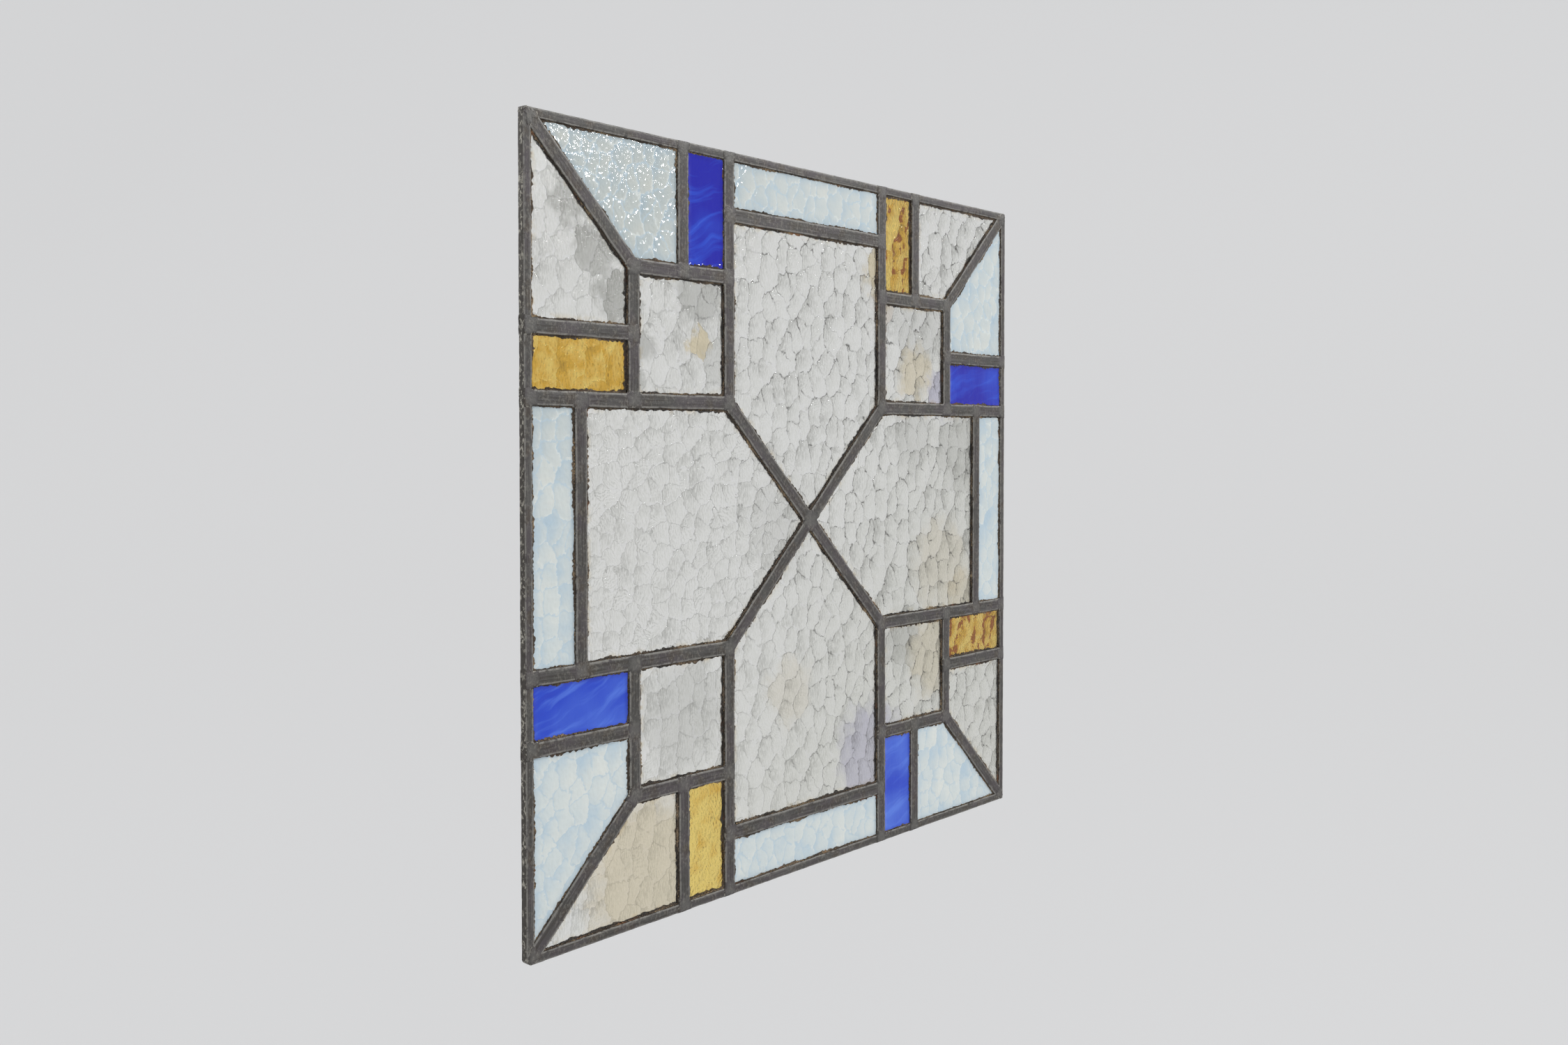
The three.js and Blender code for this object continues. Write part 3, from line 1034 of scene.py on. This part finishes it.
def clear_finish(colours):
    """Clear hammered glass: painted light and shade on the cells, painted shade in their valleys and
    crevices, painted highlights on their lit edges, faint roller lines, stains with painted light and shade
    among them, and dirt by the lead.
    """
    material, board = new_material("Clear glass")
    parts = glass_parts(board)
    x, y, rim = parts["x"], parts["y"], parts["rim"]
    patch = board.noise(parts["flat"], 22.0, 3.0, 0.55, flat=True)
    rightwards = board.step(x, -230.0, 230.0)
    # Painted light and shade: cells lit or shaded by how they face the light, more strongly to the right,
    # with random patches, each cell's lean, roller lines and streaks.
    light = 0.5 + parts["facing"] * (0.20 + rightwards * 0.24) + (patch - 0.5) * 0.9
    light = light + board.split(parts["lean"])[0] * 0.30
    light = light + parts["comb"] * board.step(patch, 0.42, 0.62, 0.03, 0.26)
    light = light + board.step(parts["streak"], 0.42, 0.75, -0.08, 0.50)
    tone = board.ramp(light, (0.0, colours.valley_shade), (0.5, colours.clear), (1.0, colours.clear_lit))
    # Painted shade in the valleys along every cell's edge.
    tone = board.mix(board.step(parts["edge"], 0.0, 0.07, 0.5, 0.0), tone, colours.valley_shade)
    # Painted highlight: white along the cells' lit upper left edges.
    tone = board.mix(lit_side(board, parts, 0.16) * 0.9, tone, (1.0, 1.0, 1.0))
    tone = stains_and_painted_light(board, parts, colours, tone)
    tone = board.mix(board.step(x - y, -60.0, 260.0), tone, (0.84, 0.84, 0.79), "MULTIPLY")
    patchy = board.noise(parts["place"], 9.0, 3.0, 0.65, flat=True)
    warm = board.step(rim, 0.3, 5.5, 1.0, 0.0) * board.step(patchy, 0.46, 0.64)
    tone = board.mix(warm * 0.7, tone, colours.tan_stain_and_amber_light, "MULTIPLY")
    dirt = board.step(rim, 0.2, 2.2, 1.0, 0.0) * board.step(patchy, 0.50, 0.60)
    tone = board.mix(dirt * 0.75, tone, colours.stain_brown, "MULTIPLY")
    # Painted shade: dark crevices along the cells' shaded lower right edges, stronger to the right.
    sharp = board.step(x + y * 0.3, -200.0, 60.0, 0.15, 1.0)
    tone = board.mix(shadow_side(board, parts, 0.085) * sharp, tone, colours.crevice_shade)
    relief = (parts["streak"] + parts["comb"] * 0.25) * parts["front"]
    board.shade(
        Base_Color=board.mix(parts["front"], colours.back, tone),
        Roughness=0.05,
        IOR=1.5,
        Transmission_Weight=1.0,
        Normal=board.bump(relief, 0.22 * MM),
    )
    return material


def amber_finish(colours):
    """Golden hammered glass: paler at the lower left, with painted light and shade on the cells, painted
    highlights on their lit edges, and painted red-brown shade in crevices on the right.
    """
    material, board = new_material("Amber glass")
    parts = glass_parts(board)
    x, y, flat = parts["x"], parts["y"], parts["flat"]
    patch = board.noise(flat, 12.0, 3.0, 0.55, flat=True)
    strong = board.step(x, -120.0, 130.0, 0.4, 1.0)
    # Painted light and shade: cells lit or shaded by how they face the light, more strongly to the right.
    light = 0.46 + parts["facing"] * (0.15 + strong * 0.25) + (patch - 0.5) * 1.3 + strong * 0.14
    pale = board.step(x + y, -330.0, -200.0, 1.0, 0.0)
    light = light + (parts["streak"] - 0.5) * 0.35 + pale * 0.45
    shaded = [c * 0.5 for c in colours.amber]
    tone = board.ramp(light, (0.0, shaded), (0.4, colours.amber), (0.95, colours.amber_lit))
    # Painted highlight along the cells' lit upper left edges.
    tone = board.mix(lit_side(board, parts, 0.10) * 0.8, tone, colours.amber_lit)
    # Painted shade: red-brown crevices along the cells' shaded lower right edges, on the right.
    deep = board.step(shadow_side(board, parts, 0.55), 0.40, 0.60) * board.step(strong, 0.5, 0.8)
    tone = board.mix(deep, tone, colours.amber_crevice_shade)
    back = board.mix(pale, colours.amber_back, colours.amber_lit)
    ripple = board.noise(flat, 2.4, 0.6, 0.4, flat=True) * board.step(x, -150.0, 0.0, 1.4, 0.2)
    board.shade(
        Base_Color=board.mix(parts["front"], back, tone),
        Roughness=0.05,
        IOR=1.5,
        Transmission_Weight=1.0,
        Normal=board.bump(parts["streak"] + parts["comb"] * 0.3 + ripple, 0.2 * MM),
    )
    return material


def opal_finish(colours):
    """Milky white glass with blue clouds, bluer by the lead, with a wet gloss, painted light and shade on the
    cells, painted shade at the top and top left, and painted highlights on the cells' lit edges.
    """
    material, board = new_material("Opal glass")
    parts = glass_parts(board)
    x, y, flat = parts["x"], parts["y"], parts["flat"]
    # Clouds, with painted light and shade by how each cell faces the light.
    light = board.noise(flat, 26.0, 3.0, 0.55, flat=True) * 0.9 + 0.06 + parts["facing"] * 0.22
    tone = board.ramp(light, (0.15, colours.opal_edge), (0.45, colours.opal), (0.85, colours.opal_pale_and_highlight))
    tone = board.mix(board.step(parts["rim"], 0.0, 7.0, 0.6, 0.0), tone, colours.opal_edge)
    # Painted shade: darker towards the top, and more at the top left.
    tone = board.mix(board.step(y, -150.0, 150.0), tone, (0.93, 0.925, 0.92), "MULTIPLY")
    tone = board.mix(board.step(y - x, 250.0, 360.0), tone, (0.87, 0.87, 0.855), "MULTIPLY")
    tone = board.mix(board.step(parts["edge"], 0.0, 0.09, 0.75, 0.0), tone, colours.opal_edge)
    # Painted highlight along the cells' lit upper left edges.
    tone = board.mix(lit_side(board, parts, 0.16) * 0.9, tone, colours.opal_pale_and_highlight)
    ripple = board.noise(board.vector("MULTIPLY", flat, (1.0, 0.75, 1.0)), 2.2, 0.6, 0.4, flat=True)
    ripple = ripple * board.step(x, -150.0, 60.0, 1.0, 0.3)
    board.shade(
        Base_Color=tone,
        Roughness=0.05,
        IOR=1.5,
        Transmission_Weight=0.25,
        Normal=board.bump(ripple, 0.28 * MM),
    )
    return material


def blue_finish(colours):
    """Cobalt glass: deep at the top, lighter towards the bottom, with drawn-out wisps."""
    material, board = new_material("Blue glass")
    parts = glass_parts(board)
    flat, rim = parts["flat"], parts["rim"]
    swirl = board.wander(flat, 34.0, 2.0, 0.5, (14.0, 14.0, 0.0), flat=True)
    drawn = board.vector("ADD", flat, swirl)
    turned = {0: drawn, "Angle": -0.35}
    drawn = board.node("ShaderNodeVectorRotate", {"rotation_type": "Z_AXIS"}, turned)
    wisps = board.noise(board.vector("MULTIPLY", drawn, (0.14, 1.3, 1.0)), 8.0, 3.0, 0.55, flat=True)
    broad = board.noise(flat, 40.0, 1.0, 0.5, flat=True)
    wispy = board.step(parts["x"], -100.0, 60.0, 0.32, 0.18)
    light = board.step(parts["y"], -230.0, 220.0, 0.55, 0.0)
    light = light + board.step(wisps, 0.45, 0.75) * wispy + (broad - 0.5) * 0.9
    tone = board.ramp(light, (0.0, colours.blue), (0.35, colours.blue_mid), (1.0, colours.blue_wisp))
    tone = board.mix(board.step(rim, 0.0, 4.0, 0.35, 0.0), tone, colours.blue)
    ripple = board.noise(board.vector("MULTIPLY", flat, (1.0, 0.28, 1.0)), 3.5, 2.0, 0.5, flat=True)
    wave = board.noise(flat, 6.0, 1.0, 0.5, flat=True)
    ripple = ripple * 0.5 + board.step(rim, 0.0, 4.0, 2.4, 0.0) * (0.2 + wave * 1.6)
    board.shade(
        Base_Color=tone,
        Roughness=0.06,
        IOR=1.5,
        Transmission_Weight=0.15,
        Normal=board.bump(ripple, 0.2 * MM),
    )
    return material


# ---- what a user would change ----


def length(label, about, default):
    """A size in metres."""
    return bpy.props.FloatProperty(
        name=label, description=about, default=default, min=0.0, precision=5, unit="LENGTH"
    )


def colour(label, about, default):
    """A plain colour."""
    return bpy.props.FloatVectorProperty(
        name=label, description=about, default=default, min=0.0, max=1.0, size=3, subtype="COLOR"
    )


class PanelSizes(bpy.types.PropertyGroup):
    """Sizes of the lead, solder, cement and glass relief."""

    face_depth: length("Came Face", "From the middle of the glass to a came's face", 2.72 * MM)
    flange: length("Flange", "Thickness of a came's flange", 1.0 * MM)
    heart: length("Heart", "Web between an inner came's flanges", 1.6 * MM)
    web: length("Border Web", "Web along the outer edge of the border came", 1.3 * MM)
    arris: length("Arris", "Radius that rounds a came's edges", 0.45 * MM)
    waviness: length("Waviness", "How far a came wanders off its line", 0.45 * MM)
    nicks: length("Nicks", "How rough a came's edges are", 0.35 * MM)
    solder_height: length("Solder Height", "From the middle of the glass to the solder's top", 2.96 * MM)
    bead_reach: length("Cement Reach", "How far cement runs on to the glass", 1.15 * MM)
    crumb: length("Crumb", "Size of a crumb of cement", 0.55 * MM)
    cell_width: length("Cell Width", "Width of a cell of the glass relief", 13.0 * MM)
    cell_height: length("Cell Height", "Height of a cell of the glass relief", 18.0 * MM)
    relief: length("Relief", "Depth of the glass relief", 0.42 * MM)
    glass_step: length("Glass Step", "Size of the faces on a pane's front", 1.25 * MM)


class PanelColours(bpy.types.PropertyGroup):
    """Colours of the lead, cement and glass."""

    lead: colour("Lead", "Main grey of the lead", (0.060, 0.057, 0.053))
    # Lighter lead for blotches, draw lines and the solder's crest, and the painted highlight on rubbed edges.
    lead_bright: colour("Rubbed Lead", "Rubbed edges and draw lines", (0.125, 0.120, 0.110))
    lead_violet: colour("Lead Violet", "Violet clouds in the lead", (0.066, 0.056, 0.060))
    lead_brown: colour("Lead Brown", "Brown clouds in the lead", (0.062, 0.047, 0.033))
    oxide: colour("Oxide", "Pale specks on the lead", (0.42, 0.40, 0.34))
    # Dark dirt for draw lines and specks, and painted shade on the cames' sides and the solder's flanks.
    grime_and_shade: colour("Grime", "Dirt on the sides of the cames", (0.030, 0.024, 0.018))
    cement: colour("Cement", "Old cement", (0.044, 0.032, 0.022))
    cement_tan: colour("Tan Cement", "Dry crumbs of cement", (0.34, 0.24, 0.13))
    rust: colour("Rust", "Rust in the cement", (0.19, 0.070, 0.024))
    clear: colour("Clear Glass", "Tint of the clear glass", (0.86, 0.865, 0.82))
    clear_lit: colour("Lit Clear Glass", "Cells that face the light", (1.0, 1.0, 0.98))
    # Painted shade: cells that face away from the light, and the valleys along cell edges.
    valley_shade: colour("Valley", "Cells that face away from the light", (0.34, 0.34, 0.315))
    # Painted shade: dark crevices along the cells' shaded edges.
    crevice_shade: colour("Crevice", "Dark lines between the cells", (0.016, 0.014, 0.012))
    back: colour("Clear Back", "Back of the clear glass", (0.97, 0.975, 0.945))
    # Tan for stains, and for the painted amber light in the top left square.
    tan_stain_and_amber_light: colour("Tan Stain", "Warm stain in the clear glass", (0.82, 0.65, 0.37))
    stain_violet: colour("Violet Stain", "Cool stain in the clear glass", (0.52, 0.5, 0.76))
    stain_brown: colour("Brown Stain", "Dirt on the clear glass", (0.4, 0.26, 0.13))
    # Painted shade: grey patches in the clear glass.
    grey_shade: colour("Grey Stain", "Dull patch in the clear glass", (0.36, 0.36, 0.335))
    amber: colour("Amber Glass", "Tint of the amber glass", (0.74, 0.375, 0.018))
    # Lit amber: painted highlights and lit cells, and the paler back at the lower left.
    amber_lit: colour("Lit Amber", "Cells that face the light", (1.0, 0.76, 0.2))
    # Painted shade in the amber glass's crevices.
    amber_crevice_shade: colour("Amber Crevice", "Red-brown in the amber glass", (0.19, 0.028, 0.001))
    amber_back: colour("Amber Back", "Back of the amber glass", (0.88, 0.62, 0.15))
    opal: colour("Opal Glass", "Body of the opal glass", (0.69, 0.76, 0.765))
    # Pale opal: clouds, and painted highlights on the cells' lit edges.
    opal_pale_and_highlight: colour("Pale Opal", "Clouds in the opal glass", (0.8, 0.83, 0.79))
    opal_edge: colour("Opal Edge", "Opal glass beside the lead", (0.54, 0.67, 0.76))
    blue: colour("Deep Blue", "Darkest blue glass", (0.004, 0.006, 0.41))
    blue_mid: colour("Blue Glass", "Body of the blue glass", (0.014, 0.062, 0.6))
    blue_wisp: colour("Blue Wisp", "Wisps in the blue glass", (0.12, 0.26, 0.86))
    wall: colour("Backdrop", "Floor and backdrop", (0.555, 0.555, 0.56))


# ---- operators ----


class LeadedGlassOperator(bpy.types.Operator):
    """Shared by the panel's operators."""

    bl_options = {"REGISTER", "UNDO"}

    def sizes(self, context):
        return context.scene.leaded_glass_sizes

    def colours(self, context):
        return context.scene.leaded_glass_colours


def sweep_cames(outline, lines, first, wear, finish, trim):
    """Sweeps an outline along the line of each came, and trims the ends.

    Wear is the waviness and nicks. The cames are numbered from first, so that each is worn in its own way.
    """
    tree, section = came_tree(), section_object("section", outline)
    waviness, nicks = wear
    values = {"Section": section, "Waviness": waviness, "Nicks": nicks, "Material": finish}
    for shift, (node, runs) in enumerate(lines.items(), first):
        mesh = run_tree(polylines(runs), tree, {**values, "Shift": float(shift)})
        set_points(mesh, trim(node, points_of(mesh)))
        face_outwards(mesh)
        lay(node.replace("came", "lead"), mesh, finish, [node])
    bpy.data.objects.remove(section)


class LEADEDGLASS_OT_cames(LeadedGlassOperator):
    """Sweep the inner cames along the lines between the panes"""

    bl_idname = "leaded_glass.cames"
    bl_label = "Inner Cames"

    def execute(self, context):
        sizes = self.sizes(context)
        finish = lead_finish(self.colours(context), "Old lead", CAME / 2)
        wear = (sizes.waviness, sizes.nicks)
        sweep_cames(inner_section(sizes), came_lines(), 1, wear, finish, self.trim)
        return {"FINISHED"}

    def trim(self, node, points):
        return inside_box(points, 0.6 * MM)


class LEADEDGLASS_OT_border(LeadedGlassOperator):
    """Bend the border came round the panel and mitre its corners"""

    bl_idname = "leaded_glass.border"
    bl_label = "Border Cames"

    def execute(self, context):
        sizes = self.sizes(context)
        finish = lead_finish(self.colours(context), "Border lead", BORDER / 2)
        wear = (sizes.waviness * 0.4, sizes.nicks * 0.8)
        sweep_cames(border_section(sizes), border_lines(), 51, wear, finish, self.trim)
        return {"FINISHED"}

    def trim(self, node, points):
        return inside_box(round_corners(mitre(points, node.startswith(("left", "right")))))


class LEADEDGLASS_OT_solder(LeadedGlassOperator):
    """Flow solder over every joint, front and back"""

    bl_idname = "leaded_glass.solder"
    bl_label = "Soldered Joints"

    def execute(self, context):
        sizes = self.sizes(context)
        points, faces = [], []
        for place, arms in joints():
            for side in (1, -1):
                made, around = solder_pool(place, arms, side, sizes.solder_height)
                first = sum(len(p) for p in points)
                points.append(made)
                faces += [tuple(first + i for i in face) for face in around]
        mesh = bpy.data.meshes.new("solder")
        mesh.from_pydata(np.concatenate(points).tolist(), [], faces)
        set_points(mesh, inside_box(round_corners(points_of(mesh))))
        face_outwards(mesh)
        finish = lead_finish(self.colours(context), "Solder")
        lay("solder_joints", mesh, finish, crease=60.0)
        return {"FINISHED"}


class LEADEDGLASS_OT_cement(LeadedGlassOperator):
    """Press cement under the flanges and leave its crumbs"""

    bl_idname = "leaded_glass.cement"
    bl_label = "Cement"

    def execute(self, context):
        sizes, colours = self.sizes(context), self.colours(context)
        finish = cement_finish(colours, "Old cement", 0.0)
        dry = cement_finish(colours, "Dry cement", 0.2)
        section = section_object("section", bead_section(sizes.bead_reach, 0.55 * MM))
        beads, crumbs = bead_tree(), crumb_tree()
        level = HALF_GLASS - 0.12 * MM
        openings = [opening_of(outline_of(node)) for node in panes()]
        lines = polylines([[(x, y, level) for x, y in opening] for opening in openings], closed=True)
        for name, side, step in (("front", 1, 1.1 * MM), ("back", -1, 2.0 * MM)):
            values = {"Section": section, "Step": step, "Shift": 3.0 + side, "Material": finish}
            self.press(run_tree(lines, beads, values), side, "cement_" + name, finish)
            values = {"Size": sizes.crumb, "Seed": 5 + side, "Share": 0.5 + 0.2 * side, "Material": dry}
            self.press(run_tree(lines, crumbs, values), side, "crumbs_" + name, dry)
        bpy.data.objects.remove(section)
        return {"FINISHED"}

    def press(self, mesh, side, name, finish):
        """Turns cement to its side of the panel, 1 for the front and -1 for the back."""
        points = points_of(mesh)
        points[:, 2] *= side
        set_points(mesh, inside_box(points))
        face_outwards(mesh)
        lay(name, mesh, finish, crease=50.0)


def panes(slot=None):
    """The nodes of one kind of glass, or of every kind."""
    parts = frame["record"]["subparts"]
    found = {part["node"]: part["material_slot"] for part in parts if part["material_slot"] != "lead"}
    return sorted(node for node, worn in found.items() if slot in (None, worn))


class PaneOperator(LeadedGlassOperator):
    """Shared by the operators that cut panes, each from one kind of glass."""

    slot = "clear_glass"
    finish = staticmethod(clear_finish)
    cell = (1.0, 1.0)  # the cells' width and height, as shares of the sizes set for the panel
    comb = 0.5  # strength of the fine roller lines
    relief = 1.0  # depth of the relief, as a share of the depth set for the panel

    def execute(self, context):
        sizes, tree = self.sizes(context), pane_tree()
        finish = self.finish(self.colours(context))
        # The count only picks the part of the sheet that a pane comes from, so it may start anywhere.
        for count, node in enumerate(panes(self.slot), len(self.slot)):
            wide, high, comb = sizes.cell_width / MM, sizes.cell_height / MM, self.comb
            if node == "left_pentagon":
                high, comb = high * 0.68, 1.0
            mesh = blank(node, sizes.glass_step)
            mark_sheet(mesh, count, (wide * self.cell[0], high * self.cell[1], comb))
            mesh = run_tree(mesh, tree, {"Depth": sizes.relief * self.relief, "Material": finish})
            face_outwards(mesh)
            lay(node + "_glass", mesh, finish, [node], crease=50.0)
        return {"FINISHED"}


class LEADEDGLASS_OT_clear(PaneOperator):
    """Cut the clear hammered panes"""

    bl_idname = "leaded_glass.clear"
    bl_label = "Clear Panes"


class LEADEDGLASS_OT_opal(PaneOperator):
    """Cut the opal panes"""

    bl_idname = "leaded_glass.opal"
    bl_label = "Opal Panes"
    slot = "opal_glass"
    finish = staticmethod(opal_finish)
    cell = (0.9, 0.8)
    comb = 0.4


class LEADEDGLASS_OT_blue(PaneOperator):
    """Cut the blue panes"""

    bl_idname = "leaded_glass.blue"
    bl_label = "Blue Panes"
    slot = "blue_glass"
    finish = staticmethod(blue_finish)
    comb = 0.3
    relief = 0.5


class LEADEDGLASS_OT_amber(PaneOperator):
    """Cut the amber panes"""

    bl_idname = "leaded_glass.amber"
    bl_label = "Amber Panes"
    slot = "amber_glass"
    finish = staticmethod(amber_finish)
    cell = (0.9, 1.25)
    comb = 0.6


class LEADEDGLASS_OT_stage(LeadedGlassOperator):
    """Set the backdrop, the lights and the camera"""

    bl_idname = "leaded_glass.stage"
    bl_label = "Stage"

    def execute(self, context):
        scene = context.scene
        self.backdrop(context)
        scene.world = bpy.data.worlds.new("studio")
        scene.world.use_nodes = True
        sky = scene.world.node_tree.nodes["Background"].inputs
        sky["Color"].default_value = (0.9, 0.95, 1.0, 1.0)
        sky["Strength"].default_value = 0.6
        for name, (place, size, power) in LAMPS.items():
            self.lamp(context, name, place, size, power)
        lens = bpy.data.cameras.new("camera")
        lens.lens, lens.sensor_width, lens.shift_y = LENS, SENSOR, LENS_SHIFT
        camera = bpy.data.objects.new("camera", lens)
        camera.location = CAMERA_PLACE
        camera.rotation_euler = (CAMERA_TILT, 0.0, CAMERA_TURN)
        scene.collection.objects.link(camera)
        scene.camera = camera
        scene.view_settings.view_transform = "Standard"
        return {"FINISHED"}

    def lamp(self, context, name, place, size, power):
        """A square soft light that faces the panel."""
        light = bpy.data.lights.new(name, "AREA")
        light.size, light.energy = size, power
        holder = bpy.data.objects.new(name, light)
        holder.location = place
        holder.rotation_euler = (Vector(place) - CENTRE).to_track_quat("Z", "Y").to_euler()
        holder.visible_camera = False
        context.scene.collection.objects.link(holder)

    def backdrop(self, context):
        """A round floor that sweeps up into a wall on every side."""
        floor, radius, sweep, top, turns, count = -1.2, 3.4, 1.0, 3.0, 12, 96
        profile = [(0.02, floor), (radius - sweep, floor)]
        for i in range(1, turns + 1):
            a = math.radians(90 * i / turns - 90)
            profile.append((radius - sweep + sweep * math.cos(a), floor + sweep + sweep * math.sin(a)))
        profile.append((radius, top))
        round_it = [2 * math.pi * i / count for i in range(count)]
        points = [(r * math.cos(a), r * math.sin(a), z) for r, z in profile for a in round_it]
        faces = [tuple(reversed(range(count)))]
        for ring in range(len(profile) - 1):
            faces += [f[::-1] for f in ring_faces(ring * count, (ring + 1) * count, count)]
        mesh = bpy.data.meshes.new("backdrop")
        mesh.from_pydata(points, [], faces)
        mesh.polygons.foreach_set("use_smooth", [True] * len(mesh.polygons))
        material, board = new_material("Backdrop")
        board.shade(
            Base_Color=(0.25, 0.25, 0.25, 1.0),
            Roughness=1.0,
            Emission_Color=(*self.colours(context).wall, 1.0),
            Emission_Strength=0.8,
        )
        mesh.materials.append(material)
        wall = bpy.data.objects.new("backdrop", mesh)
        context.scene.collection.objects.link(wall)


class LEADEDGLASS_PT_maker(bpy.types.Panel):
    """The panel's pieces in the sidebar"""

    bl_label = "Leaded Glass"
    bl_space_type = "VIEW_3D"
    bl_region_type = "UI"
    bl_category = "Leaded Glass"

    def draw(self, context):
        for step in STEPS:
            self.layout.operator(step.bl_idname)
        for group in (context.scene.leaded_glass_sizes, context.scene.leaded_glass_colours):
            column = self.layout.column()
            for name in group.bl_rna.properties.keys():
                if name not in ("rna_type", "name"):
                    column.prop(group, name)


STEPS = (
    LEADEDGLASS_OT_stage,
    LEADEDGLASS_OT_border,
    LEADEDGLASS_OT_cames,
    LEADEDGLASS_OT_solder,
    LEADEDGLASS_OT_cement,
    LEADEDGLASS_OT_clear,
    LEADEDGLASS_OT_opal,
    LEADEDGLASS_OT_blue,
    LEADEDGLASS_OT_amber,
)
CLASSES = (PanelSizes, PanelColours, *STEPS, LEADEDGLASS_PT_maker)


def register():
    for made in CLASSES:
        bpy.utils.register_class(made)
    bpy.types.Scene.leaded_glass_sizes = bpy.props.PointerProperty(type=PanelSizes)
    bpy.types.Scene.leaded_glass_colours = bpy.props.PointerProperty(type=PanelColours)


def unregister():
    del bpy.types.Scene.leaded_glass_colours
    del bpy.types.Scene.leaded_glass_sizes
    for made in reversed(CLASSES):
        bpy.utils.unregister_class(made)


def main():
    register()
    for step in STEPS:
        getattr(bpy.ops.leaded_glass, step.bl_idname.split(".")[1])()


if __name__ == "__main__":
    main()
